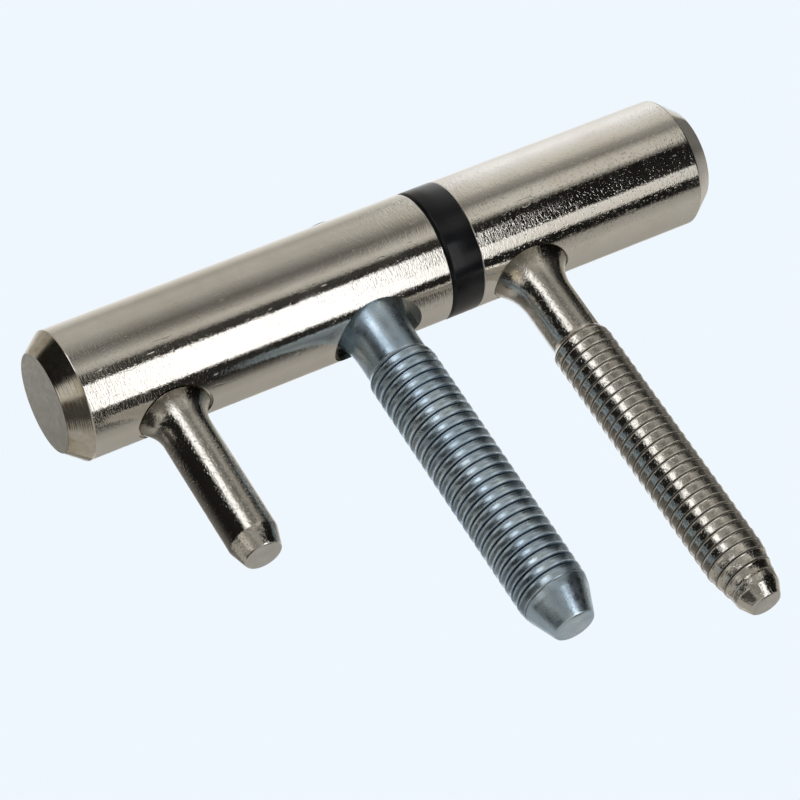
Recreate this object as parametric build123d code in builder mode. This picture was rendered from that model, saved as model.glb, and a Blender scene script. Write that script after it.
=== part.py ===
from build123d import *
import os

os.makedirs("parts", exist_ok=True)

# Lift-off hinge for a rebated door, held by pins and bolts that are drilled into the wood.
# Z is the hinge axis, X points along the bolts into the wood, millimetres throughout.
# The origin is the centre of the frame barrel's flat lower end.

# Barrels
barrel_diameter = 15.0
frame_barrel_length = 46.3
leaf_barrel_length = 31.0
end_chamfer_length = 2.3
end_chamfer_depth = 1.8

# Bearing ring between the barrels
ring_height = 4.1
ring_bevel = 0.45

# Hinge pin, bush and their bores
pin_diameter = 7.0
pin_depth_in_frame = 24.0
pin_reach_in_leaf = 21.0
pin_lead_in = 0.3
bush_wall = 0.95
bush_length = 20.0
free_space_above_pin = 1.5

# Fits, all radial or end clearances
running_clearance = 0.05
seat_clearance = 0.02
recess_clearance = 0.3

# How far along a foot's flare its curve bends, as a share of the flare's length
flare_bend = 0.35

# Guide pin
guide_pin_height = 11.9
guide_pin_diameter = 5.8
guide_pin_length = 19.8
guide_foot_diameter = 8.5
guide_foot_depth = 3.5
guide_flare_length = 2.7
guide_tip_length = 2.4
guide_tip_diameter = 4.3

# Adjusting bolt, M8, with its place counted down from the top of the frame barrel
adjusting_bolt_drop = 9.4
adjusting_thread_diameter = 8.0
adjusting_neck_diameter = 7.2
adjusting_bolt_length = 41.6
adjusting_neck_length = 4.5
adjusting_runout_length = 1.3
adjusting_runout_diameter = 7.0
adjusting_tip_length = 2.9
adjusting_tip_diameter = 4.7
adjusting_recess_diameter = 11.2
adjusting_recess_web = 1.1
adjusting_collar_thickness = 0.45
adjusting_foot_cone_length = 2.2

# The adjusting bolt's riveted tail, turned with a key from the back of the barrel
tail_diameter = 4.0
tail_head_diameter = 7.0
tail_head_thickness = 2.2
tail_head_web = 1.0
key_socket_width = 4.0
key_socket_depth = 1.6

# Leaf bolt, M7, with its height counted from the top of the bearing ring
leaf_bolt_rise = 6.2
leaf_thread_diameter = 7.0
leaf_neck_diameter = 5.9
leaf_bolt_length = 48.2
leaf_neck_length = 10.1
leaf_taper_length = 3.8
leaf_taper_diameter = 5.3
leaf_tip_length = 2.2
leaf_tip_diameter = 3.6
leaf_foot_diameter = 9.4
leaf_flare_length = 4.2
leaf_seat_web = 0.7

# Worked-out places
barrel_radius = barrel_diameter / 2
pin_radius = pin_diameter / 2
ring_bottom = frame_barrel_length
adjusting_bolt_height = frame_barrel_length - adjusting_bolt_drop
leaf_bottom = ring_bottom + ring_height
leaf_bolt_height = leaf_bottom + leaf_bolt_rise
pin_bore_radius = pin_radius + seat_clearance
pin_bottom = frame_barrel_length - pin_depth_in_frame
pin_top = leaf_bottom + pin_reach_in_leaf
running_bore_radius = pin_radius + running_clearance
bush_radius = running_bore_radius + bush_wall
bush_bore_radius = bush_radius + seat_clearance
adjusting_recess_floor = pin_bore_radius + adjusting_recess_web
tail_recess_floor = pin_bore_radius + tail_head_web
tail_hole_radius = tail_diameter / 2 + running_clearance
tail_recess_radius = tail_head_diameter / 2 + running_clearance
leaf_seat_floor = bush_bore_radius + leaf_seat_web
guide_seat_floor = barrel_radius - guide_foot_depth


def along_stud(height):
    """Plane whose first direction runs out along a stud and whose second is its radius."""
    return Plane(origin=(0, 0, height), x_dir=(1, 0, 0), z_dir=(0, -1, 0))


def across_stud(height, distance):
    """Plane square to a stud, at this distance from the hinge axis."""
    return Plane(origin=(distance, 0, height), x_dir=(0, 1, 0), z_dir=(1, 0, 0))


def stud_axis(height):
    return Axis((0, 0, height), (1, 0, 0))


def radial_hole(height, radius, start, end):
    """Solid of a round hole along a stud, to be cut from a barrel."""
    with BuildPart() as hole:
        with BuildSketch(across_stud(height, start)):
            Circle(radius)
        extrude(amount=end - start)
    return hole.part


def flare_points(neck_radius, foot_radius, length):
    """Curve of a trumpet flare, which leaves the neck along its side and ends at the foot's rim."""
    neck_end = barrel_radius + length
    bend = barrel_radius + flare_bend * length
    return [(neck_end, neck_radius), (bend, neck_radius), (barrel_radius, foot_radius)]


# Places along the studs, from the hinge axis
guide_foot_radius = guide_foot_diameter / 2
guide_radius = guide_pin_diameter / 2
guide_tip = barrel_radius + guide_pin_length

adjusting_neck_radius = adjusting_neck_diameter / 2
adjusting_recess_radius = adjusting_recess_diameter / 2
adjusting_collar_radius = adjusting_recess_radius - recess_clearance
adjusting_collar_bottom = adjusting_recess_floor + running_clearance
adjusting_collar_top = adjusting_collar_bottom + adjusting_collar_thickness
adjusting_thread_start = barrel_radius + adjusting_neck_length
adjusting_tip = barrel_radius + adjusting_bolt_length
adjusting_tip_start = adjusting_tip - adjusting_tip_length
adjusting_thread_end = adjusting_tip_start - adjusting_runout_length
tail_head_inner = -(tail_recess_floor + running_clearance)
tail_head_outer = tail_head_inner - tail_head_thickness

leaf_foot_radius = leaf_foot_diameter / 2
leaf_neck_radius = leaf_neck_diameter / 2
leaf_thread_start = barrel_radius + leaf_neck_length
leaf_tip = barrel_radius + leaf_bolt_length
leaf_tip_start = leaf_tip - leaf_tip_length
leaf_taper_start = leaf_tip_start - leaf_taper_length

# Frame barrel, bored from the top for the hinge pin and crosswise for the guide pin and the bolt
with BuildPart() as frame_barrel:
    with BuildSketch():
        Circle(barrel_radius)
    extrude(amount=frame_barrel_length)
    lower_end = frame_barrel.faces().sort_by(Axis.Z)[0]
    chamfer(lower_end.edges(), end_chamfer_depth, end_chamfer_length, reference=lower_end)
    with BuildSketch(Plane.XY.offset(pin_bottom)):
        Circle(pin_bore_radius)
    extrude(amount=pin_depth_in_frame, mode=Mode.SUBTRACT)
    add(
        radial_hole(adjusting_bolt_height, adjusting_recess_radius, adjusting_recess_floor, barrel_radius),
        mode=Mode.SUBTRACT,
    )
    add(
        radial_hole(adjusting_bolt_height, tail_hole_radius, -tail_recess_floor, adjusting_recess_floor),
        mode=Mode.SUBTRACT,
    )
    add(
        radial_hole(adjusting_bolt_height, tail_recess_radius, -barrel_radius, -tail_recess_floor),
        mode=Mode.SUBTRACT,
    )
    add(
        radial_hole(guide_pin_height, guide_foot_radius + seat_clearance, guide_seat_floor, barrel_radius),
        mode=Mode.SUBTRACT,
    )

# Hinge pin, pressed into the frame barrel, with a lead-in above and a cross hole for the bolt's tail
with BuildPart() as hinge_pin:
    with BuildSketch(Plane.XY.offset(pin_bottom)):
        Circle(pin_radius)
    extrude(amount=pin_top - pin_bottom)
    chamfer(hinge_pin.faces().sort_by(Axis.Z)[-1].edges(), pin_lead_in)
    add(
        radial_hole(adjusting_bolt_height, tail_hole_radius, -pin_radius, pin_radius),
        mode=Mode.SUBTRACT,
    )

# Guide pin, with a flared foot pressed into the barrel
with BuildPart() as guide_pin:
    with BuildSketch(along_stud(guide_pin_height)):
        with BuildLine():
            flare = Bezier(flare_points(guide_radius, guide_foot_radius, guide_flare_length))
            Polyline(
                flare @ 1,
                (guide_seat_floor, guide_foot_radius),
                (guide_seat_floor, 0),
                (guide_tip, 0),
                (guide_tip, guide_tip_diameter / 2),
                (guide_tip - guide_tip_length, guide_radius),
                flare @ 0,
            )
        make_face()
    revolve(axis=stud_axis(guide_pin_height))

# Adjusting bolt, captive in the frame barrel between its cone-shaped foot and its riveted tail
with BuildPart() as adjusting_bolt:
    with BuildSketch(along_stud(adjusting_bolt_height)):
        with BuildLine():
            Polyline(
                (adjusting_collar_top + adjusting_foot_cone_length, adjusting_neck_radius),
                (adjusting_collar_top, adjusting_collar_radius),
                (adjusting_collar_bottom, adjusting_collar_radius),
                (adjusting_collar_bottom, tail_diameter / 2),
                (tail_head_inner, tail_diameter / 2),
                (tail_head_inner, tail_head_diameter / 2),
                (tail_head_outer, tail_head_diameter / 2),
                (tail_head_outer, 0),
                (adjusting_tip, 0),
                (adjusting_tip, adjusting_tip_diameter / 2),
                (adjusting_tip_start, adjusting_runout_diameter / 2),
                (adjusting_thread_end, adjusting_thread_diameter / 2),
                (adjusting_thread_start, adjusting_thread_diameter / 2),
                (adjusting_thread_start, adjusting_neck_radius),
                close=True,
            )
        make_face()
    revolve(axis=stud_axis(adjusting_bolt_height))
    with BuildSketch(across_stud(adjusting_bolt_height, tail_head_outer)):
        RegularPolygon(key_socket_width / 2, 6, major_radius=False)
    extrude(amount=key_socket_depth, mode=Mode.SUBTRACT)

# Bearing ring, loose on the hinge pin, carries the leaf
with BuildPart() as bearing_ring:
    with BuildSketch(Plane.XY.offset(ring_bottom)):
        Circle(barrel_radius)
        Circle(running_bore_radius, mode=Mode.SUBTRACT)
    extrude(amount=ring_height)
    chamfer(bearing_ring.faces().sort_by(Axis.Z)[0].outer_wire().edges(), ring_bevel)

# Bush, pressed into the leaf barrel, turns on the hinge pin
with BuildPart() as pin_bush:
    with BuildSketch(Plane.XY.offset(leaf_bottom)):
        Circle(bush_radius)
        Circle(running_bore_radius, mode=Mode.SUBTRACT)
    extrude(amount=bush_length)

# Leaf barrel, bored from below for the bush and crosswise for the bolt's foot
with BuildPart() as leaf_barrel:
    with BuildSketch(Plane.XY.offset(leaf_bottom)):
        Circle(barrel_radius)
    extrude(amount=leaf_barrel_length)
    top_end = leaf_barrel.faces().sort_by(Axis.Z)[-1]
    chamfer(top_end.edges(), end_chamfer_depth, end_chamfer_length, reference=top_end)
    with BuildSketch(Plane.XY.offset(leaf_bottom)):
        Circle(bush_bore_radius)
    extrude(amount=max(pin_reach_in_leaf + free_space_above_pin, bush_length), mode=Mode.SUBTRACT)
    add(
        radial_hole(leaf_bolt_height, leaf_foot_radius + seat_clearance, leaf_seat_floor, barrel_radius),
        mode=Mode.SUBTRACT,
    )

# Leaf bolt, with a trumpet-shaped foot pressed into the barrel
with BuildPart() as leaf_bolt:
    with BuildSketch(along_stud(leaf_bolt_height)):
        with BuildLine():
            flare = Bezier(flare_points(leaf_neck_radius, leaf_foot_radius, leaf_flare_length))
            Polyline(
                flare @ 1,
                (leaf_seat_floor, leaf_foot_radius),
                (leaf_seat_floor, 0),
                (leaf_tip, 0),
                (leaf_tip, leaf_tip_diameter / 2),
                (leaf_tip_start, leaf_taper_diameter / 2),
                (leaf_taper_start, leaf_thread_diameter / 2),
                (leaf_thread_start, leaf_thread_diameter / 2),
                (leaf_thread_start, leaf_neck_radius),
                flare @ 0,
            )
        make_face()
    revolve(axis=stud_axis(leaf_bolt_height))

frame_barrel.part.label = "frame_barrel"
hinge_pin.part.label = "hinge_pin"
guide_pin.part.label = "guide_pin"
adjusting_bolt.part.label = "adjusting_bolt"
bearing_ring.part.label = "bearing_ring"
pin_bush.part.label = "pin_bush"
leaf_barrel.part.label = "leaf_barrel"
leaf_bolt.part.label = "leaf_bolt"

export_step(frame_barrel.part, "parts/frame_barrel.step")
export_step(hinge_pin.part, "parts/hinge_pin.step")
export_step(guide_pin.part, "parts/guide_pin.step")
export_step(adjusting_bolt.part, "parts/adjusting_bolt.step")
export_step(bearing_ring.part, "parts/bearing_ring.step")
export_step(pin_bush.part, "parts/pin_bush.step")
export_step(leaf_barrel.part, "parts/leaf_barrel.step")
export_step(leaf_bolt.part, "parts/leaf_bolt.step")
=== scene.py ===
import math

import bpy
import numpy as np
from mathutils import Matrix, Vector


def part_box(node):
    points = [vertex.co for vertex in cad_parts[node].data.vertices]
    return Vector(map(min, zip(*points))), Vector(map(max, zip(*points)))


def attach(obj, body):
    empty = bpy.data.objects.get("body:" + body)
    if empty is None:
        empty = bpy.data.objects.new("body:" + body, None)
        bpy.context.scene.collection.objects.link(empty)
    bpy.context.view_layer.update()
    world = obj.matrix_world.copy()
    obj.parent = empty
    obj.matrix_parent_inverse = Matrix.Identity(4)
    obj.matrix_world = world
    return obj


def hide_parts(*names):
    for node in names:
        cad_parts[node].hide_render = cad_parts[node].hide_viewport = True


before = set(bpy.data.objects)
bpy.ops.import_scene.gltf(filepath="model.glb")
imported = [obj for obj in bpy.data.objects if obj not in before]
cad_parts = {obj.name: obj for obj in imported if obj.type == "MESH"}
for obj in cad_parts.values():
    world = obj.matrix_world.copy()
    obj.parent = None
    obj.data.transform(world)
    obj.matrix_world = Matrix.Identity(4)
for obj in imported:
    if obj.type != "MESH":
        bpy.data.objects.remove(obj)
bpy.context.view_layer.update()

MM = 0.001
TURN = 2 * math.pi

# Sizes of the hinge, in millimetres, as in the part's source
BARREL_RADIUS = 7.5
END_CHAMFER_LENGTH = 2.3
END_CHAMFER_DEPTH = 1.8
EDGE_BREAK = 0.12
FLARE_BEND = 0.35
GUIDE_HEIGHT = 11.9
GUIDE_RADIUS = 2.9
GUIDE_FOOT_RADIUS = 4.25
GUIDE_FLARE = 2.7
GUIDE_TIP = 27.3
GUIDE_TIP_START = 24.9
GUIDE_TIP_RADIUS = 2.15
ADJUSTING_HEIGHT = 36.9
RECESS_CORE = 3.85
RECESS_RADIUS = 5.45
RECESS_FLOOR = 4.62
COLLAR_RADIUS = 4.45
LEAF_HEIGHT = 56.6
LEAF_NECK_RADIUS = 2.95
LEAF_FOOT_RADIUS = 4.7
LEAF_FLARE = 4.2
PIN_BORE_RADIUS = 3.52
PIN_DEPTH = 24.0
BUSH_BORE_RADIUS = 4.52
BUSH_BORE_DEPTH = 22.5
TAIL_RECESS_RADIUS = 3.55
TAIL_RECESS_FLOOR = 4.52
TAIL_HOLE_RADIUS = 2.05
RING_BORE_RADIUS = 3.55
RING_BEVEL = 0.45
SEAT_CLEARANCE = 0.02
GUIDE_SEAT_FLOOR = 4.0
LEAF_SEAT_FLOOR = 5.22
PITCH = 1.25
ADJUSTING_THREAD_DEPTH = 0.50
LEAF_THREAD_DEPTH = 0.60

# Share by which a foot's rim is narrower across the barrel than along it
FOOT_NARROWING = 0.5

# Facets round each piece
BARREL_SEGMENTS = 384
RING_SEGMENTS = 256
STUD_SEGMENTS = 192
THREAD_SEGMENTS = 144


def height_range(node):
    """Lowest and highest point of a node, in millimetres."""
    low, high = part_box(node)
    return low.z / MM, high.z / MM


# Meshes

def mesh_object(name, vertices, faces, body, replaced=()):
    """Object from points in millimetres, which rides on a body and stands for the nodes given."""
    mesh = bpy.data.meshes.new(name)
    mesh.from_pydata([tuple(c * MM for c in p) for p in vertices], [], faces)
    mesh.validate()
    obj = bpy.data.objects.new(name, mesh)
    bpy.context.scene.collection.objects.link(obj)
    if body:
        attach(obj, body)
    if replaced:
        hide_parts(*replaced)
    return obj


def shade(obj, sharp_angle=32):
    """Smooth shading with crisp edges where the surface turns sharply."""
    obj.data.polygons.foreach_set("use_smooth", [True] * len(obj.data.polygons))
    obj.data.set_sharp_from_angle(angle=math.radians(sharp_angle))
    obj.data.update()


def revolved(profile, segments, place):
    """Points and faces of a profile of (distance, radius) turned round an axis; place maps it into space."""
    vertices, rings, faces = [], [], []
    for distance, radius in profile:
        if radius < 1e-6:
            rings.append([len(vertices)])
            vertices.append(place(distance, 0.0, 0.0))
            continue
        ring = []
        for i in range(segments):
            angle = TURN * i / segments
            ring.append(len(vertices))
            vertices.append(place(distance, radius, angle))
        rings.append(ring)
    for lower, upper in zip(rings, rings[1:]):
        for i in range(segments):
            j = (i + 1) % segments
            if len(lower) == 1:
                faces.append((lower[0], upper[j], upper[i]))
            elif len(upper) == 1:
                faces.append((lower[i], lower[j], upper[0]))
            else:
                faces.append((lower[i], lower[j], upper[j], upper[i]))
    return vertices, faces


def round_z(distance, radius, angle):
    return radius * math.cos(angle), radius * math.sin(angle), distance


def round_stud(height):
    """Turns a profile round a stud's axis, which runs along X at this height."""
    def place(distance, radius, angle):
        return distance, radius * math.cos(angle), height + radius * math.sin(angle)
    return place


def rounded_corner(before, corner, after, size, steps=3):
    """Points that round a profile's corner off, size millimetres from it along either side."""
    a, b, c = (np.array(p, float) for p in (before, corner, after))
    start = b + (a - b) * size / np.linalg.norm(a - b)
    end = b + (c - b) * size / np.linalg.norm(c - b)
    points = []
    for k in range(steps + 1):
        t = k / steps
        points.append(tuple((1 - t) ** 2 * start + 2 * t * (1 - t) * b + t * t * end))
    return points


def rounded_profile(points, sizes):
    """Profile with each corner rounded by its own size, 0 for a corner that stays as it is."""
    made = [points[0]]
    for k in range(1, len(points) - 1):
        if sizes[k]:
            made += rounded_corner(points[k - 1], points[k], points[k + 1], sizes[k])
        else:
            made.append(points[k])
    return made + [points[-1]]


# Barrels

def cutter(vertices, faces):
    return mesh_object("cutter", vertices, faces, None)


def cut(obj, tool):
    """Cuts a tool from an object for good, and removes the tool."""
    modifier = obj.modifiers.new("cut", "BOOLEAN")
    modifier.operation = "DIFFERENCE"
    modifier.solver = "EXACT"
    modifier.object = tool
    graph = bpy.context.evaluated_depsgraph_get()
    made = bpy.data.meshes.new_from_object(obj.evaluated_get(graph))
    obj.modifiers.clear()
    obj.data = made
    bpy.data.objects.remove(tool)


def rod(height, radius, start, end):
    """Closed cylinder along a stud's axis."""
    profile = [(start, 0), (start, radius), (end, radius), (end, 0)]
    return revolved(profile, STUD_SEGMENTS, round_stud(height))


def seat(height, neck_radius, foot_radius, floor, gap):
    """Closed form of a foot's seat, a little wider than the foot all round."""
    def place(distance, radius, angle):
        width = foot_width(neck_radius, foot_radius, angle) + gap
        return distance, radius * width * math.cos(angle), height + radius * width * math.sin(angle)
    end = BARREL_RADIUS + 2
    return cutter(*revolved([(floor, 0), (floor, 1), (end, 1), (end, 0)], STUD_SEGMENTS, place))


def upright_rod(radius, start, end):
    """Closed cylinder along the hinge axis."""
    return revolved([(start, 0), (start, radius), (end, radius), (end, 0)], RING_SEGMENTS, round_z)


def seat_groove(height, neck_radius, foot_radius, width, depth):
    """Fine groove that runs round a foot's seat at an even depth below the barrel's surface."""
    groove = seat(height, neck_radius, foot_radius, 2.0, width)
    cut(groove, cutter(*upright_rod(BARREL_RADIUS - depth, height - 8, height + 8)))
    return groove


def barrel_normals(obj, chamfer_end, away):
    """Sets exact normals on the round skin and on the end chamfer, so that reflections run clean."""
    mesh = obj.data
    slope = Vector((END_CHAMFER_LENGTH, END_CHAMFER_DEPTH)).normalized()
    normals = []
    for polygon in mesh.polygons:
        corners = [mesh.vertices[v].co / MM for v in polygon.vertices]
        radii = [math.hypot(c.x, c.y) for c in corners]
        depths = [(chamfer_end - c.z) * away for c in corners]
        on_skin = all(abs(r - BARREL_RADIUS) < 0.004 for r in radii)
        cone = [BARREL_RADIUS - END_CHAMFER_DEPTH * (1 - d / END_CHAMFER_LENGTH) for d in depths]
        on_chamfer = all(abs(r - k) < 0.006 and -0.01 < d for r, k, d in zip(radii, cone, depths))
        for corner, radius in zip(corners, radii):
            radial = Vector((corner.x, corner.y, 0)) / max(radius, 1e-9)
            if on_skin:
                normals.append(radial)
            elif on_chamfer and max(depths) <= END_CHAMFER_LENGTH + 0.01:
                normals.append((radial * slope.x + Vector((0, 0, away * slope.y))).normalized())
            else:
                normals.append(polygon.normal)
    mesh.polygons.foreach_set("use_smooth", [True] * len(mesh.polygons))
    mesh.normals_split_custom_set(normals)


def barrel(name, body, bottom, top, chamfer_end, bore_radius, bore_depth, seats):
    """Round barrel, chamfered at its closed end, bored from the other, with seats cut in its side."""
    away = 1 if chamfer_end == top else -1
    open_end = bottom if away == 1 else top
    profile = [
        (chamfer_end, 0),
        (chamfer_end, BARREL_RADIUS - END_CHAMFER_DEPTH),
        (chamfer_end - away * END_CHAMFER_LENGTH, BARREL_RADIUS),
        (open_end, BARREL_RADIUS),
        (open_end, bore_radius),
        (open_end + away * bore_depth, bore_radius),
        (open_end + away * bore_depth, 0),
    ]
    rounded = rounded_profile(profile, [0, 0.08, 0.1, EDGE_BREAK, 0.1, 0, 0])
    if away == 1:
        rounded = rounded[::-1]
    vertices, faces = revolved(rounded, BARREL_SEGMENTS, round_z)
    obj = mesh_object(name, vertices, faces, body, [name])
    for tool in seats:
        cut(obj, tool)
    barrel_normals(obj, chamfer_end, away)
    return obj


def frame_barrel():
    bottom, top = height_range("frame_barrel")
    tail_recess = cutter(
        *rod(ADJUSTING_HEIGHT, TAIL_RECESS_RADIUS, -BARREL_RADIUS - 2, -TAIL_RECESS_FLOOR)
    )
    through = cutter(*rod(ADJUSTING_HEIGHT, TAIL_HOLE_RADIUS, -TAIL_RECESS_FLOOR - 1, RECESS_FLOOR + 1))
    seats = [
        seat(ADJUSTING_HEIGHT, RECESS_CORE, RECESS_RADIUS, RECESS_FLOOR, 0),
        tail_recess,
        through,
        seat(GUIDE_HEIGHT, GUIDE_RADIUS, GUIDE_FOOT_RADIUS, GUIDE_SEAT_FLOOR, SEAT_CLEARANCE),
        seat_groove(GUIDE_HEIGHT, GUIDE_RADIUS, GUIDE_FOOT_RADIUS, 0.28, 0.40),
    ]
    return barrel("frame_barrel", "frame_half", bottom, top, bottom, PIN_BORE_RADIUS, PIN_DEPTH, seats)


def leaf_barrel():
    bottom, top = height_range("leaf_barrel")
    seats = [
        seat(LEAF_HEIGHT, LEAF_NECK_RADIUS, LEAF_FOOT_RADIUS, LEAF_SEAT_FLOOR, SEAT_CLEARANCE),
        seat_groove(LEAF_HEIGHT, LEAF_NECK_RADIUS, LEAF_FOOT_RADIUS, 0.10, 0.16),
    ]
    return barrel("leaf_barrel", "leaf_half", bottom, top, top, BUSH_BORE_RADIUS, BUSH_BORE_DEPTH, seats)


# Studs

def surface_height(radius, angle):
    """Distance of the barrel's skin from the hinge axis, at a place round a stud."""
    return math.sqrt(BARREL_RADIUS ** 2 - (radius * math.cos(angle)) ** 2)


def foot_width(neck_radius, foot_radius, angle):
    """Radius of a foot's rim, which is less across the barrel than along it."""
    return neck_radius + (foot_radius - neck_radius) * (1 - FOOT_NARROWING * math.cos(angle) ** 2)


def flared_place(height, neck_radius, length):
    """Turns a stud's profile and lets its flare follow the barrel's round skin, narrower across it."""
    upright = round_stud(height)

    def place(distance, radius, angle):
        reach = min(max((distance - BARREL_RADIUS) / length, 0.0), 1.0)
        width = foot_width(neck_radius, radius, angle) if radius > neck_radius else radius
        sunk = (surface_height(width, angle) - BARREL_RADIUS) * (1 - reach) ** 2
        return upright(distance + sunk, width, angle)
    return place


def flare_profile(neck_radius, foot_radius, length, steps=14):
    """Trumpet curve from a foot's rim to its neck."""
    start = np.array((BARREL_RADIUS, foot_radius - 0.08))
    bend = np.array((BARREL_RADIUS + FLARE_BEND * length, neck_radius))
    end = np.array((BARREL_RADIUS + length, neck_radius))
    points = []
    for k in range(steps + 1):
        t = k / steps
        points.append(tuple((1 - t) ** 2 * start + 2 * t * (1 - t) * bend + t * t * end))
    return points


def guide_pin():
    profile = [
        (GUIDE_SEAT_FLOOR, 0),
        (GUIDE_SEAT_FLOOR, GUIDE_FOOT_RADIUS),
        (BARREL_RADIUS - 0.1, GUIDE_FOOT_RADIUS),
    ]
    profile += flare_profile(GUIDE_RADIUS, GUIDE_FOOT_RADIUS, GUIDE_FLARE)
    tip = [
        profile[-1],
        (GUIDE_TIP_START, GUIDE_RADIUS),
        (GUIDE_TIP, GUIDE_TIP_RADIUS),
        (GUIDE_TIP, 0),
    ]
    profile += rounded_profile(tip, [0, 0.15, 0.25, 0])[1:]
    place = flared_place(GUIDE_HEIGHT, GUIDE_RADIUS, GUIDE_FLARE)
    vertices, faces = revolved(profile, STUD_SEGMENTS, place)
    obj = mesh_object("guide_pin", vertices, faces, "frame_half", ["guide_pin"])
    shade(obj)
    return obj


# Share of the pitch and share of the thread's depth along one turn: on the blue bolt a wide and slightly
# hollow crest with a fine lip on both edges, then a narrow groove
BLUE_THREAD = [
    (0.00, -0.06),
    (0.04, -0.05),
    (0.12, 0.04),
    (0.26, 0.10),
    (0.40, 0.12),
    (0.54, 0.10),
    (0.66, 0.03),
    (0.73, -0.06),
    (0.77, -0.04),
    (0.80, 0.12),
    (0.84, 0.80),
    (0.88, 1.0),
    (0.92, 0.80),
    (0.96, 0.12),
]

# Steps of the blue bolt's thread that lie in its groove, which gets the painted shade
GROOVE_ROWS = range(9, 13)

# On the nickel bolt a flatter crest with thinner lips, then a narrow groove
LEAF_THREAD = [
    (0.00, -0.06),
    (0.025, -0.05),
    (0.05, 0.03),
    (0.10, 0.055),
    (0.25, 0.065),
    (0.45, 0.067),
    (0.65, 0.062),
    (0.76, 0.04),
    (0.795, -0.05),
    (0.82, -0.05),
    (0.85, 0.50),
    (0.885, 1.0),
    (0.92, 0.60),
    (0.96, 0.06),
]


def smooth_step(low, high, value):
    t = min(max((value - low) / (high - low), 0.0), 1.0)
    return t * t * (3 - 2 * t)


def thread_radius(distance, depth, start, end, crest, root, neck):
    """Radius at a share of the thread's depth, where it rises from the neck, runs on and fades out."""
    reach = smooth_step(start, start + 0.7 * PITCH, distance)
    fade = 1 - smooth_step(end - 0.5 * PITCH, end + 0.3 * PITCH, distance)
    top = neck + (crest(distance) - neck) * reach
    return top - (crest(distance) - root(distance)) * depth * reach * fade


def threaded_surface(shape, start, end, crest, root, neck, place):
    """Closed skin of a thread from the neck's ring to the last ring: rows follow the helix, turn after turn.
    crest and root are functions of the distance along the stud."""
    rows_a_turn = len(shape)
    turns = math.ceil((end - start) / PITCH)
    rows = rows_a_turn * turns
    vertices = []
    index = {}

    def add(distance, radius, i):
        vertices.append(place(distance, radius, TURN * i / THREAD_SEGMENTS))
        return len(vertices) - 1

    for row in range(rows + rows_a_turn + 1):
        turn, step = divmod(row, rows_a_turn)
        share, depth = shape[step]
        for i in range(THREAD_SEGMENTS if row <= rows else 1):
            distance = start + PITCH * (turn - 1 + share + i / THREAD_SEGMENTS)
            radius = thread_radius(distance, depth, start, end, crest, root, neck)
            index[row, i] = add(distance, radius, i)

    def at(row, i):
        return index[row + rows_a_turn, 0] if i == THREAD_SEGMENTS else index[row, i]

    faces = [
        (at(row, i), at(row, i + 1), at(row + 1, i + 1), at(row + 1, i))
        for row in range(rows)
        for i in range(THREAD_SEGMENTS)
    ]
    first = [add(start - 1.2 * PITCH, neck, i) for i in range(THREAD_SEGMENTS)]
    for i in range(THREAD_SEGMENTS - 1):
        faces.append((first[i], first[i + 1], index[0, i + 1], index[0, i]))
    seam = [index[row, 0] for row in range(rows_a_turn + 1)]
    faces.append([first[-1], first[0]] + seam + [index[0, THREAD_SEGMENTS - 1]])
    last = start + PITCH * turns + 0.02
    ring = [add(last, crest(last), i) for i in range(THREAD_SEGMENTS)]
    seam = [index[row, 0] for row in range(rows + rows_a_turn, rows - 1, -1)]
    faces.append([index[rows, 1], ring[1], ring[0]] + seam)
    for i in range(1, THREAD_SEGMENTS):
        upper = ring[(i + 1) % THREAD_SEGMENTS]
        faces.append((at(rows, i), at(rows, i + 1), upper, ring[i]))
    return vertices, faces, first, ring, last, rows


def add_end(vertices, faces, ring, profile, outward, place):
    """Carries a threaded skin on from its first or last ring along a profile that ends on the axis."""
    for distance, radius in profile:
        new = []
        for i in range(THREAD_SEGMENTS if radius > 1e-6 else 1):
            new.append(len(vertices))
            vertices.append(place(distance, radius, TURN * i / THREAD_SEGMENTS))
        for i in range(THREAD_SEGMENTS):
            j = (i + 1) % THREAD_SEGMENTS
            if len(new) > 1:
                face = (ring[i], ring[j], new[j], new[i])
                faces.append(face if outward else face[::-1])
            else:
                edge = (ring[i], ring[j]) if outward else (ring[j], ring[i])
                faces.append((*edge, new[0]))
        ring = new


def threaded_object(name, body, surface, head, tail, place):
    """Stud with a threaded skin between the profile of its head and the one of its tip."""
    vertices, faces, first, ring = surface[:4]
    add_end(vertices, faces, first, head, False, place)
    add_end(vertices, faces, ring, tail, True, place)
    obj = mesh_object(name, vertices, faces, body, [name])
    shade(obj)
    return obj


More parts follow.
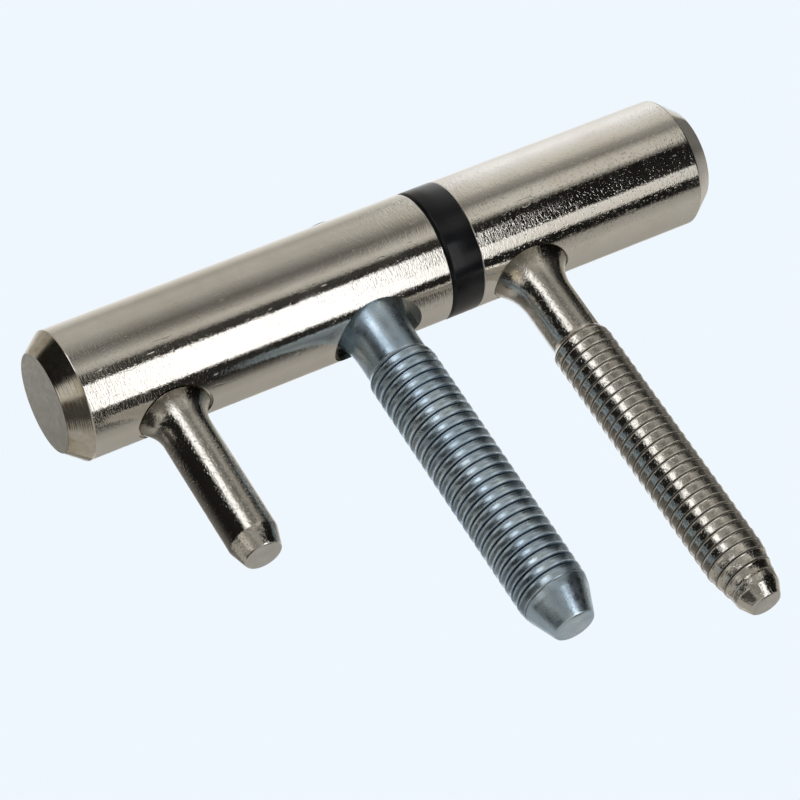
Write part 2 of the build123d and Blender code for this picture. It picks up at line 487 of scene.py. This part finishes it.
def adjusting_bolt():
    """Blue bolt with a metric thread of 8 mm, its collar in the recess and its riveted tail."""
    place = round_stud(ADJUSTING_HEIGHT)
    start, runout, tip_start, tip = 12.0, 44.9, 46.2, 49.1
    neck, runout_radius, tip_radius = 3.6, 3.5, 2.35
    collar_bottom, collar_top = 4.67, 5.12
    tail_radius, tail_head_radius, socket_radius = 2.0, 3.5, 2.2
    tail_head_top, tail_head_end, socket_floor = -4.57, -6.77, -5.2

    def crest(x):
        return 3.97 - 0.45 * smooth_step(runout - 0.6, tip_start + 0.6, x)

    def root(x):
        return crest(x) - ADJUSTING_THREAD_DEPTH * (1 - smooth_step(runout - 1.5, tip_start, x))

    surface = threaded_surface(BLUE_THREAD, start, runout, crest, root, neck, place)
    head = [
        (10.0, neck),
        (7.6, neck),
        (collar_top, COLLAR_RADIUS),
        (collar_bottom, COLLAR_RADIUS),
        (collar_bottom, tail_radius),
        (tail_head_top, tail_radius),
    ]
    head = rounded_profile(head, [0, 1.6, 0.15, 0.1, 0, 0])
    head += [
        (tail_head_top, tail_head_radius),
        (tail_head_end, tail_head_radius),
        (tail_head_end, socket_radius + 0.1),
        (socket_floor, socket_radius),
        (socket_floor, 0),
    ]
    end, rows = surface[4:]
    tail = [(end, crest(end)), (tip_start, runout_radius), (tip, tip_radius), (tip, 0)]
    tail = rounded_profile(tail, [0, 0.2, 0.3, 0])[1:]
    return threaded_object("adjusting_bolt", "bolt", surface, head, tail, place), rows


def leaf_bolt():
    """Nickel bolt with a metric thread of 7 mm that tapers off, and a trumpet foot."""
    place = flared_place(LEAF_HEIGHT, LEAF_NECK_RADIUS, LEAF_FLARE)
    start, taper, tip_start, tip = 17.6, 49.7, 53.5, 55.7
    neck, runout_radius, tip_radius = LEAF_NECK_RADIUS, 2.6, 1.8

    def crest(x):
        return 3.47 - 0.82 * min(max((x - taper) / (tip_start - taper), 0.0), 1.0)

    def root(x):
        return max(crest(x) - LEAF_THREAD_DEPTH, 2.0)

    surface = threaded_surface(LEAF_THREAD, start, tip_start - 0.4, crest, root, neck, place)
    head = flare_profile(neck, LEAF_FOOT_RADIUS, LEAF_FLARE)[::-1]
    head += [
        (BARREL_RADIUS - 0.1, LEAF_FOOT_RADIUS),
        (LEAF_SEAT_FLOOR, LEAF_FOOT_RADIUS),
        (LEAF_SEAT_FLOOR, 0),
    ]
    end = surface[4]
    tail = [(end, crest(end)), (end + 0.3, runout_radius), (tip, tip_radius), (tip, 0)]
    tail = rounded_profile(tail, [0, 0.1, 0.25, 0])[1:]
    return threaded_object("leaf_bolt", "leaf_half", surface, head, tail, place)


def bearing_ring():
    bottom, top = height_range("bearing_ring")
    profile = [
        (bottom, RING_BORE_RADIUS),
        (bottom, BARREL_RADIUS - RING_BEVEL),
        (bottom + RING_BEVEL, BARREL_RADIUS),
        (top, BARREL_RADIUS),
        (top, RING_BORE_RADIUS),
        (bottom, RING_BORE_RADIUS),
    ]
    rounded = rounded_profile(profile, [0, 0.1, 0.12, 0.12, 0, 0])
    vertices, faces = revolved(rounded, RING_SEGMENTS, round_z)
    obj = mesh_object("bearing_ring", vertices, faces, "bearing", ["bearing_ring"])
    shade(obj, 25)
    return obj


# Materials

class Nodes:
    """Short way to build a material's nodes."""

    def __init__(self, name):
        self.material = bpy.data.materials.new(name)
        self.material.use_nodes = True
        self.tree = self.material.node_tree
        self.shader = self.tree.nodes["Principled BSDF"]
        coordinates = self.tree.nodes.new("ShaderNodeTexCoord")
        self.object = coordinates.outputs["Object"]

    def link(self, source, target):
        self.tree.links.new(source, target)

    def stretched(self, scale):
        mapping = self.tree.nodes.new("ShaderNodeMapping")
        mapping.inputs["Scale"].default_value = scale
        self.link(self.object, mapping.inputs["Vector"])
        return mapping.outputs["Vector"]

    def noise(self, scale, detail=2.0, roughness=0.5, vector=None):
        node = self.tree.nodes.new("ShaderNodeTexNoise")
        node.inputs["Scale"].default_value = scale
        node.inputs["Detail"].default_value = detail
        node.inputs["Roughness"].default_value = roughness
        self.link(vector or self.object, node.inputs["Vector"])
        return node.outputs["Fac"]

    def ramp(self, source, stops):
        node = self.tree.nodes.new("ShaderNodeValToRGB")
        ramp = node.color_ramp
        while len(ramp.elements) < len(stops):
            ramp.elements.new(0.5)
        for element, (position, colour) in zip(ramp.elements, stops):
            element.position = position
            element.color = (*colour, 1) if hasattr(colour, "__len__") else (colour, colour, colour, 1)
        self.link(source, node.inputs["Fac"])
        return node.outputs["Color"]

    def vector_math(self, operation, vector, value=None):
        node = self.tree.nodes.new("ShaderNodeVectorMath")
        node.operation = operation
        self.link(vector, node.inputs[0])
        if value:
            node.inputs[1].default_value = value
        return node

    def distance(self, point):
        """Distance from a point, in metres."""
        return self.vector_math("DISTANCE", self.object, point).outputs["Value"]

    def axis_distance(self):
        """Distance from the hinge axis, in metres."""
        flat = self.vector_math("MULTIPLY", self.object, (1, 1, 0)).outputs["Vector"]
        return self.vector_math("LENGTH", flat).outputs["Value"]

    def math(self, operation, a, b=None):
        node = self.tree.nodes.new("ShaderNodeMath")
        node.operation = operation
        for socket, value in zip(node.inputs, (a, b)):
            if hasattr(value, "links"):
                self.link(value, socket)
            elif value is not None:
                socket.default_value = value
        return node.outputs["Value"]

    def mix(self, factor, a, b):
        node = self.tree.nodes.new("ShaderNodeMix")
        node.data_type = "RGBA"
        self.link(factor, node.inputs["Factor"])
        for socket, value in ((node.inputs["A"], a), (node.inputs["B"], b)):
            if hasattr(value, "links"):
                self.link(value, socket)
            else:
                socket.default_value = (*value, 1)
        return node.outputs["Result"]

    def bump(self, height, strength, distance, before=None):
        node = self.tree.nodes.new("ShaderNodeBump")
        node.inputs["Strength"].default_value = strength
        node.inputs["Distance"].default_value = distance
        self.link(height, node.inputs["Height"])
        if before:
            self.link(before, node.inputs["Normal"])
        return node.outputs["Normal"]

    def finish(self, colour, roughness, normal, metallic):
        self.link(colour, self.shader.inputs["Base Color"])
        self.link(roughness, self.shader.inputs["Roughness"])
        self.link(normal, self.shader.inputs["Normal"])
        self.shader.inputs["Metallic"].default_value = metallic
        return self.material


def nickel_skin(name, grain_height, pit_height):
    """Glossy plating over fine grain that runs round the barrel, with small pits and short scratches."""
    n = Nodes(name)
    grain = n.noise(1, 2.0, 0.7, n.stretched((1300, 1300, 5000)))
    specks = n.ramp(n.noise(3600, 1.5), [(0.58, 0.0), (0.70, 1.0)])
    scratches = n.ramp(n.noise(1, 1.0, 0.5, n.stretched((2400, 2400, 420))), [(0.25, 0.0), (0.29, 1.0)])
    normal = n.bump(n.noise(330, 2.0), 1.0, 0.000012)
    normal = n.bump(grain, 1.0, grain_height, normal)
    normal = n.bump(specks, 1.0, pit_height, normal)
    normal = n.bump(scratches, 1.0, 0.000008, normal)
    clouds = n.ramp(n.noise(240, 4.0, 0.65), [(0.32, 0.0), (0.68, 1.0)])
    patches = n.ramp(n.noise(60, 2.0), [(0.3, (0.69, 0.65, 0.585)), (0.7, (0.74, 0.71, 0.66))])
    colour = n.mix(clouds, patches, (0.77, 0.745, 0.70))
    roughness = n.ramp(n.noise(380, 4.0, 0.6), [(0.35, 0.03), (0.70, 0.13)])
    return n.finish(colour, roughness, normal, metallic=1.0)


def nickel_turned(name, dark, middle):
    """Chamfers with the lathe's rings, and the tint that the plating leaves there."""
    n = Nodes(name)
    rings = n.tree.nodes.new("ShaderNodeTexNoise")
    rings.noise_dimensions = "1D"
    rings.inputs["Scale"].default_value = 9000
    rings.inputs["Detail"].default_value = 2.0
    n.link(n.axis_distance(), rings.inputs["W"])
    normal = n.bump(rings.outputs["Fac"], 0.6, 0.00003)
    normal = n.bump(n.noise(4200, 3.0), 0.2, 0.00001, normal)
    colour = n.ramp(
        n.noise(420, 4.0, 0.65),
        [(0.32, dark), (0.5, middle), (0.68, (0.76, 0.73, 0.68))],
    )
    roughness = n.ramp(n.noise(1100, 3.0), [(0.3, 0.10), (0.7, 0.20)])
    return n.finish(colour, roughness, normal, metallic=1.0)


def nickel_face():
    """End faces, matt from the saw and the plating bath."""
    n = Nodes("nickel_face")
    normal = n.bump(n.noise(2600, 4.0, 0.65), 0.5, 0.00003)
    normal = n.bump(n.noise(420, 2.0), 0.3, 0.00008, normal)
    colour = n.ramp(n.noise(500, 4.0), [(0.3, (0.68, 0.67, 0.65)), (0.7, (0.80, 0.79, 0.77))])
    roughness = n.ramp(n.noise(1500, 3.0), [(0.3, 0.38), (0.7, 0.55)])
    return n.finish(colour, roughness, normal, metallic=1.0)


# Place of a copper-coloured spot on the nickel bolt's flare, in metres
COPPER_SPOT = (0.0082, -0.0024, 0.0538)


def nickel_stud():
    """Nickel on the studs, coarser than on the barrels, with dark brown painted in the corner at the barrel:
    partly tarnish, partly painted shade.
    """
    n = Nodes("nickel_stud")
    normal = n.bump(n.noise(700, 2.0, 0.5), 1.0, 0.000014)
    normal = n.bump(n.noise(2900, 3.0, 0.65), 1.0, 0.000026, normal)
    specks = n.ramp(n.noise(4200, 1.5), [(0.55, 0.0), (0.70, 1.0)])
    normal = n.bump(specks, 1.0, 0.000009, normal)
    colour = n.ramp(n.noise(300, 3.0), [(0.3, (0.68, 0.645, 0.585)), (0.7, (0.74, 0.715, 0.67))])
    # Painted shade with tarnish: dark brown near the barrel's skin, in the corner where each stud's foot
    # meets the barrel.
    ragged = n.math("ADD", n.axis_distance(), n.math("MULTIPLY", n.noise(700, 3.0), 0.0012))
    foot_shade_and_tarnish = n.ramp(n.math("MULTIPLY", ragged, 100.0), [(0.80, 0.85), (0.865, 0.6), (0.95, 0.0)])
    colour = n.mix(foot_shade_and_tarnish, colour, (0.16, 0.135, 0.10))
    ragged = n.math("ADD", n.distance(COPPER_SPOT), n.math("MULTIPLY", n.noise(1600, 3.0), 0.0009))
    spot = n.ramp(n.math("MULTIPLY", ragged, 500.0), [(0.48, 1.0), (0.66, 0.0)])
    colour = n.mix(spot, colour, (0.80, 0.71, 0.56))
    roughness = n.ramp(n.noise(1500, 3.0), [(0.3, 0.04), (0.75, 0.10)])
    return n.finish(colour, roughness, normal, metallic=1.0)


def groove_painted_shade_material(name, dark, light):
    """Thread grooves with painted shade: a darker colour than the crests where shade falls in the groove,
    and duller.
    """
    n = Nodes(name)
    normal = n.bump(n.noise(3000, 3.0, 0.6), 1.0, 0.00001)
    colour = n.ramp(n.noise(600, 3.0), [(0.3, dark), (0.7, light)])
    roughness = n.ramp(n.noise(1500, 3.0), [(0.3, 0.25), (0.75, 0.40)])
    return n.finish(colour, roughness, normal, metallic=1.0)


def blue_zinc():
    """Blue-passivated zinc, satin, with a cloudy tint."""
    n = Nodes("blue_zinc")
    normal = n.bump(n.noise(1200, 3.0, 0.6), 0.5, 0.00003)
    normal = n.bump(n.noise(3600, 3.0, 0.65), 1.0, 0.000014, normal)
    colour = n.ramp(
        n.noise(260, 4.0, 0.6),
        [(0.28, (0.44, 0.58, 0.72)), (0.5, (0.59, 0.74, 0.88)), (0.72, (0.76, 0.89, 0.99))],
    )
    roughness = n.ramp(n.noise(1300, 3.0), [(0.3, 0.24), (0.75, 0.38)])
    return n.finish(colour, roughness, normal, metallic=1.0)


def black_plastic():
    n = Nodes("black_plastic")
    normal = n.bump(n.noise(2600, 3.0, 0.6), 0.25, 0.00002)
    colour = n.ramp(n.noise(300, 3.0), [(0.3, (0.005, 0.005, 0.006)), (0.7, (0.010, 0.010, 0.011))])
    roughness = n.ramp(n.noise(900, 3.0), [(0.3, 0.15), (0.7, 0.22)])
    n.shader.inputs["Specular IOR Level"].default_value = 0.26
    return n.finish(colour, roughness, normal, metallic=0.0)


def ground_steel():
    n = Nodes("ground_steel")
    normal = n.bump(n.noise(1, 2.0, 0.6, n.stretched((400, 400, 6000))), 0.3, 0.00001)
    colour = n.ramp(n.noise(300, 3.0), [(0.3, (0.54, 0.54, 0.54)), (0.7, (0.64, 0.64, 0.63))])
    roughness = n.ramp(n.noise(1200, 3.0), [(0.3, 0.22), (0.7, 0.34)])
    return n.finish(colour, roughness, normal, metallic=1.0)


def pale_plastic():
    n = Nodes("pale_plastic")
    normal = n.bump(n.noise(2200, 3.0), 0.2, 0.00002)
    colour = n.ramp(n.noise(300, 3.0), [(0.3, (0.76, 0.75, 0.70)), (0.7, (0.83, 0.82, 0.78))])
    roughness = n.ramp(n.noise(900, 3.0), [(0.3, 0.42), (0.7, 0.55)])
    return n.finish(colour, roughness, normal, metallic=0.0)


def dress(obj, *materials):
    """Gives an object its materials, in place of any that it has."""
    obj.data.materials.clear()
    for material in materials:
        obj.data.materials.append(material)


def dress_node(node, material):
    """Gives a node's own slots a material, without touching its mesh."""
    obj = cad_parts[node]
    for slot in obj.material_slots:
        slot.link = "OBJECT"
        slot.material = material


def face_finish(obj, choose):
    """Picks a material slot for each face from its centre and normal."""
    for polygon in obj.data.polygons:
        polygon.material_index = choose(polygon.center / MM, polygon.normal)


# Stage

# The photograph's camera, in the part's frame
EYE = Vector((186.918, -296.294, -98.915)) * MM
RIGHT = Vector((0.49374, -0.10458, 0.8633))
UP = Vector((-0.73462, -0.58142, 0.3497))
BACK = Vector((0.46536, -0.80686, -0.3639))
LENS = 152.89
CENTRE = Vector((14.0, 0.0, 38.0)) * MM


def camera():
    data = bpy.data.cameras.new("camera")
    data.lens = LENS
    data.sensor_width = 36
    data.clip_start = 0.01
    data.clip_end = 20
    obj = bpy.data.objects.new("camera", data)
    bpy.context.scene.collection.objects.link(obj)
    columns = Matrix((RIGHT, UP, BACK)).transposed()
    obj.matrix_world = Matrix.Translation(EYE) @ columns.to_4x4()
    bpy.context.scene.camera = obj


def studio_point(offset):
    """Point at an offset from the object's centre, in millimetres to the camera's right, up and back."""
    return CENTRE + (RIGHT * offset.x + UP * offset.y + BACK * offset.z) * MM


# The studio: sheets of light and dark, each placed where the metal mirrors it for the photograph's camera

# Distance of the sheets from the object's centre, in millimetres
BARREL_SHEET = 250
STUD_SHEET_LEFT = 215
STUD_SHEET_RIGHT = 275
NEAR_LAMP = 167
TENT = 340

# What the long barrel mirrors, from its back over the front to its underside: angle and brightness
FRAME_LIGHT = [
    (-142, 1.00), (-133, 0.80), (-126, 0.62), (-119, 0.42), (-110, 0.50), (-100, 0.46), (-92, 0.28),
    (-85, 0.14), (-80, 0.22), (-73, 0.56), (-69, 0.42), (-67, 0.05), (-59.5, 0.04), (-59, 1.60),
    (-37, 1.60), (-36.4, 0.02), (-23, 0.02), (-18, 0.12), (-13, 0.34), (-4, 0.42), (24, 0.36),
]

# What the short barrel mirrors, past the end of the side lamp
LEAF_LIGHT = [
    (-142, 1.00), (-133, 0.85), (-126, 1.00), (-118, 1.10), (-108, 0.85), (-96, 0.60), (-91, 0.34),
    (-85, 0.22), (-79, 0.60), (-72, 0.66), (-69, 0.30), (-66.5, 0.01), (-47, 0.015), (-46.3, 0.85),
    (-37, 0.72), (-36.2, 0.01), (-28, 0.01), (-25, 0.34), (-14, 0.48), (24, 0.36),
]

# What the studs mirror round about: angle from +Y towards +Z, and brightness
STUD_LIGHT = [
    (-250, 0.85), (-232, 0.50), (-226, 0.12), (-214, 0.18), (-208, 0.06), (-202, 0.02), (-197, 0.08),
    (-190, 0.32), (-176, 0.36), (-168, 0.32), (-158, 0.20), (-148, 0.015), (-120, 0.01), (-112, 0.04),
    (-104, 0.11), (-96, 0.13), (-84, 0.26), (-60, 0.34),
]


def mirrored_place(point, normal, distance):
    """Where the photograph's camera sees the studio mirrored, when it looks at this point of the metal."""
    view = (point - EYE).normalized()
    ray = view - 2 * view.dot(normal) * normal
    start = point - CENTRE
    along = ray.dot(start)
    reach = math.sqrt(along * along - start.length_squared + (distance * MM) ** 2) - along
    return point + ray * reach


def barrel_place(height, angle, distance):
    turn = math.radians(angle)
    normal = Vector((math.cos(turn), math.sin(turn), 0))
    return mirrored_place((normal * BARREL_RADIUS + Vector((0, 0, height))) * MM, normal, distance)


def stud_place(height, reach, angle, distance, radius=3.4):
    turn = math.radians(angle)
    normal = Vector((0, math.cos(turn), math.sin(turn)))
    return mirrored_place((normal * radius + Vector((reach, 0, height))) * MM, normal, distance)


def warm_grey(light):
    """Colour of a sheet: warm where it is dim, white where it is a lamp."""
    warmth = 1 - smooth_step(0.6, 1.0, light)
    return light * (1 + 0.04 * warmth), light, light * (1 - 0.09 * warmth), 1.0


def glow_material():
    material = bpy.data.materials.new("studio_sheet")
    material.use_nodes = True
    tree = material.node_tree
    tree.nodes.clear()
    sheet = tree.nodes.new("ShaderNodeVertexColor")
    sheet.layer_name = "glow"
    glow = tree.nodes.new("ShaderNodeEmission")
    output = tree.nodes.new("ShaderNodeOutputMaterial")
    tree.links.new(sheet.outputs["Color"], glow.inputs["Color"])
    tree.links.new(glow.outputs["Emission"], output.inputs["Surface"])
    return material


SHEET_MATERIAL = glow_material()


def sheet(name, places, lights):
    """Sheet seen only in the metal. Both lists have rows of the same length: points, and how bright."""
    columns = len(places[0])
    vertices = [tuple(place / MM) for row in places for place in row]
    faces = [
        (start + c, start + c + 1, start + columns + c + 1, start + columns + c)
        for start in range(0, columns * (len(places) - 1), columns)
        for c in range(columns - 1)
    ]
    obj = mesh_object(name, vertices, faces, None)
    glow = obj.data.color_attributes.new("glow", "FLOAT_COLOR", "POINT")
    colours = [warm_grey(light) for row in lights for light in row]
    glow.data.foreach_set("color", np.array(colours, np.float32).ravel())
    dress(obj, SHEET_MATERIAL)
    obj.visible_camera = False
    obj.visible_diffuse = False
    obj.visible_transmission = False
    obj.visible_shadow = False


def light_at(stops, angle):
    angles, lights = zip(*stops)
    return float(np.interp(angle, angles, lights))


def barrel_sheet(name, stops, start, end):
    """Sheet that a barrel mirrors between two heights, lit by the angle round the barrel."""
    angles = np.arange(stops[0][0], stops[-1][0], 0.5)
    heights = np.linspace(start, end, 24)
    places = [[barrel_place(height, angle, BARREL_SHEET) for height in heights] for angle in angles]
    lights = [[light_at(stops, angle)] * len(heights) for angle in angles]
    sheet(name, places, lights)


def stud_sheet(name, start, end, distance):
    """Sheet that the studs mirror, lit by the angle round a stud, seen from the middle one."""
    angles = np.arange(start, end, 1.0)
    reaches = np.linspace(6, 76, 24)
    places = [[stud_place(ADJUSTING_HEIGHT, x, angle, distance) for x in reaches] for angle in angles]
    lights = [[light_at(STUD_LIGHT, angle)] * len(reaches) for angle in angles]
    sheet(name, places, lights)


def near_lamp():
    """Long lamp close by, which puts one bright line along each stud."""
    lights = ((-164, 0.35), (-161, 1.5), (-154, 1.5), (-149, 0.1))
    reaches = np.linspace(0, 70, 8)
    places = [[stud_place(ADJUSTING_HEIGHT, x, angle, NEAR_LAMP) for x in reaches] for angle, _ in lights]
    sheet("near_lamp", places, [[light] * len(reaches) for _, light in lights])


# Dark and light parts of the tent: direction to the camera's right, up and back, half width in degrees,
# brightness
TENT_PARTS = [
    ((0.0, 0.20, 0.98), 30, 0.22),
    ((0.12, 0.38, 0.92), 16, 0.34),
    ((0.82, 0.50, 0.10), 36, 0.01),
    ((-0.88, 0.26, 0.36), 35, 0.015),
    ((-0.42, 0.02, 0.92), 13, 0.32),
    ((-0.38, -0.55, 0.74), 19, 0.06),
    ((-0.60, -0.72, 0.35), 15, 0.05),
    ((-0.60, -0.16, 0.79), 12, 0.62),
    ((0.86, -0.42, 0.30), 16, 0.07),
    ((-0.63, -0.26, -0.73), 22, 0.56),
]


def tent_light(direction):
    """Mid grey all round, lighter towards the open back, with the tent's dark and light parts in it."""
    light = 0.40 + 0.45 * smooth_step(-0.6, -0.9, direction.z)
    for middle, width, part_light in TENT_PARTS:
        angle = math.degrees(direction.angle(Vector(middle)))
        light += (part_light - light) * smooth_step(width + 4, width - 4, angle)
    return light


def tent():
    """Round cloth behind the sheets, open at the back, where the pale surroundings show."""
    rows, columns = 60, 144
    places, lights = [], []
    for row in range(rows + 1):
        polar = math.radians(152) * row / rows
        directions = [
            Vector((math.sin(polar) * math.cos(a), math.sin(polar) * math.sin(a), math.cos(polar)))
            for a in np.linspace(0, TURN, columns + 1)
        ]
        places.append([studio_point(d * TENT) for d in directions])
        lights.append([tent_light(d) for d in directions])
    sheet("tent", places, lights)


def lamp(name, direction, distance, width, height, power):
    """Soft lamp that faces the object and lights what isn't metal; the metal mirrors the sheets."""
    data = bpy.data.lights.new(name, "AREA")
    data.shape = "RECTANGLE"
    data.size = width * MM
    data.size_y = height * MM
    data.energy = power
    obj = bpy.data.objects.new(name, data)
    bpy.context.scene.collection.objects.link(obj)
    place = studio_point(Vector(direction).normalized() * distance)
    back = (place - CENTRE).normalized()
    across = UP.cross(back).normalized()
    rotation = Matrix((across, back.cross(across), back)).transposed()
    obj.matrix_world = Matrix.Translation(place) @ rotation.to_4x4()
    obj.visible_camera = False
    obj.visible_glossy = False


def floor():
    """Plain pale floor well below the object, out of the photograph's view."""
    half, drop = 1500, -330
    corners = [(x * half, y * half, drop) for x, y in ((-1, -1), (1, -1), (1, 1), (-1, 1))]
    obj = mesh_object("floor", corners, [(0, 1, 2, 3)], None)
    n = Nodes("floor")
    colour = n.ramp(n.noise(6, 2.0), [(0.3, (0.80, 0.85, 0.90)), (0.7, (0.83, 0.88, 0.93))])
    roughness = n.ramp(n.noise(9, 2.0), [(0.3, 0.75), (0.7, 0.85)])
    dress(obj, n.finish(colour, roughness, n.bump(n.noise(400, 2.0), 0.1, 0.0002), 0.0))


def pale_world():
    """Pale surroundings, seen by the camera and in reflections past the tent."""
    world = bpy.data.worlds.new("world")
    bpy.context.scene.world = world
    world.use_nodes = True
    tree = world.node_tree
    tree.nodes.clear()
    path = tree.nodes.new("ShaderNodeLightPath")
    seen = tree.nodes.new("ShaderNodeMath")
    seen.operation = "MAXIMUM"
    tree.links.new(path.outputs["Is Camera Ray"], seen.inputs[0])
    tree.links.new(path.outputs["Is Glossy Ray"], seen.inputs[1])
    either = tree.nodes.new("ShaderNodeMath")
    either.operation = "MAXIMUM"
    tree.links.new(seen.outputs["Value"], either.inputs[0])
    tree.links.new(path.outputs["Is Transmission Ray"], either.inputs[1])
    light = tree.nodes.new("ShaderNodeBackground")
    light.inputs["Color"].default_value = (0.62, 0.65, 0.68, 1)
    pale = tree.nodes.new("ShaderNodeBackground")
    pale.inputs["Color"].default_value = (0.863, 0.930, 0.991, 1)
    mix = tree.nodes.new("ShaderNodeMixShader")
    tree.links.new(either.outputs["Value"], mix.inputs["Fac"])
    tree.links.new(light.outputs["Background"], mix.inputs[1])
    tree.links.new(pale.outputs["Background"], mix.inputs[2])
    output = tree.nodes.new("ShaderNodeOutputWorld")
    tree.links.new(mix.outputs["Shader"], output.inputs["Surface"])


def studio():
    lamp("side_lamp", (0.70, -0.07, 0.70), 240, 170, 140, 0.12)
    lamp("top_lamp", (-0.30, 0.78, 0.53), 220, 140, 90, 0.06)
    barrel_sheet("frame_sheet", FRAME_LIGHT, -3, 48.3)
    barrel_sheet("leaf_sheet", LEAF_LIGHT, 48.3, 84)
    stud_sheet("right_sheet", -250, -175, STUD_SHEET_RIGHT)
    stud_sheet("left_sheet", -170, -79, STUD_SHEET_LEFT)
    near_lamp()
    tent()


def plain_stage():
    view = bpy.context.scene.view_settings
    view.view_transform = "Standard"
    camera()
    pale_world()
    floor()
    studio()


# The hinge

skins = [
    nickel_skin("nickel_skin_long", 0.000014, 0.0000025),
    nickel_skin("nickel_skin_short", 0.000010, 0.0000055),
]
chamfers = [
    nickel_turned("nickel_turned_brown", (0.46, 0.36, 0.24), (0.64, 0.59, 0.50)),
    nickel_turned("nickel_turned_grey", (0.70, 0.68, 0.64), (0.76, 0.74, 0.71)),
]
face = nickel_face()
stud = nickel_stud()


def barrel_slot(centre, normal):
    """Slot 0 for the round skin, 1 for the chamfer, 2 for the flat ends."""
    if abs(normal.z) > 0.97:
        return 2
    return 1 if 0.3 < abs(normal.z) else 0


def tip_slot(centre, normal):
    """Slot 1 for the flat tip, 0 for the rest."""
    return 1 if normal.x > 0.97 and centre.x > 20 else 0


def mark_grooves(obj, rows):
    """Gives the groove of the blue bolt's thread slot 1, the material with painted shade. The thread's faces
    come first in the mesh.
    """
    for face in range(rows * THREAD_SEGMENTS):
        if face // THREAD_SEGMENTS % len(BLUE_THREAD) in GROOVE_ROWS:
            obj.data.polygons[face].material_index = 1


for build, skin, turned in zip((frame_barrel, leaf_barrel), skins, chamfers):
    obj = build()
    dress(obj, skin, turned, face)
    face_finish(obj, barrel_slot)

pin = guide_pin()
dress(pin, stud, face)
face_finish(pin, tip_slot)

bolt = leaf_bolt()
dress(bolt, stud, face)
face_finish(bolt, tip_slot)

bolt, thread_rows = adjusting_bolt()
# The groove material's darker colour is painted shade in the thread's groove.
dress(bolt, blue_zinc(), groove_painted_shade_material("zinc_groove_painted_shade", (0.25, 0.31, 0.38), (0.44, 0.52, 0.60)))
mark_grooves(bolt, thread_rows)

dress(bearing_ring(), black_plastic())
dress_node("hinge_pin", ground_steel())
dress_node("pin_bush", pale_plastic())

plain_stage()
